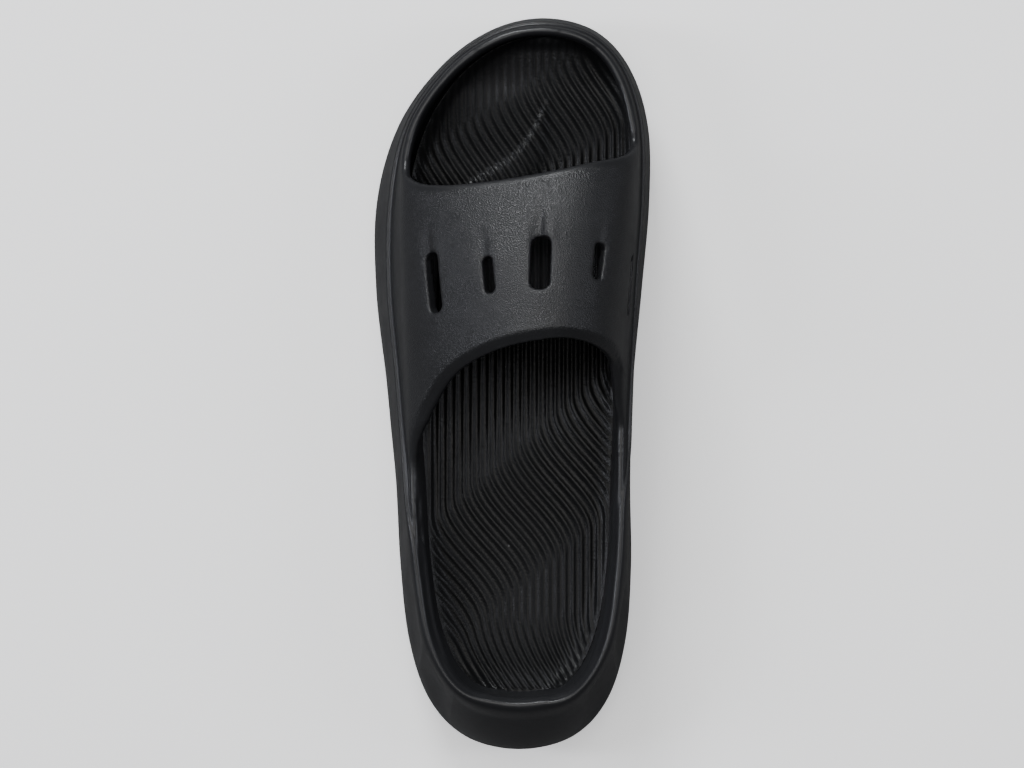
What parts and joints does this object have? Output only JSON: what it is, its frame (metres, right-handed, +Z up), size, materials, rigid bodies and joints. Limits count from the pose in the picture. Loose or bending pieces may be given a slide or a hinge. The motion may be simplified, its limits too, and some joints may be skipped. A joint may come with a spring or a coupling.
{
  "type": "slide sandal",
  "caption": "Thick moulded foam slide sandal for the left foot, with a vented instep strap, a raised rim round the footbed and a rockered grooved sole.",
  "frame": {"origin": "on the ground below the middle of the shoe's bounding box", "axes": "+Y from heel to toe, +X towards the big toe side, +Z up"},
  "size_m": [0.1127, 0.296, 0.093],
  "materials": {
    "upper_foam": "satin grained foam",
    "midsole_foam": "smooth satin foam",
    "footbed_foam": "ribbed matte foam",
    "outsole_foam": "matte"
  },
  "bodies": {
    "root": {"upper": "upper_foam", "midsole": "midsole_foam", "footbed": "footbed_foam", "outsole": "outsole_foam"}
  },
  "joints": []
}
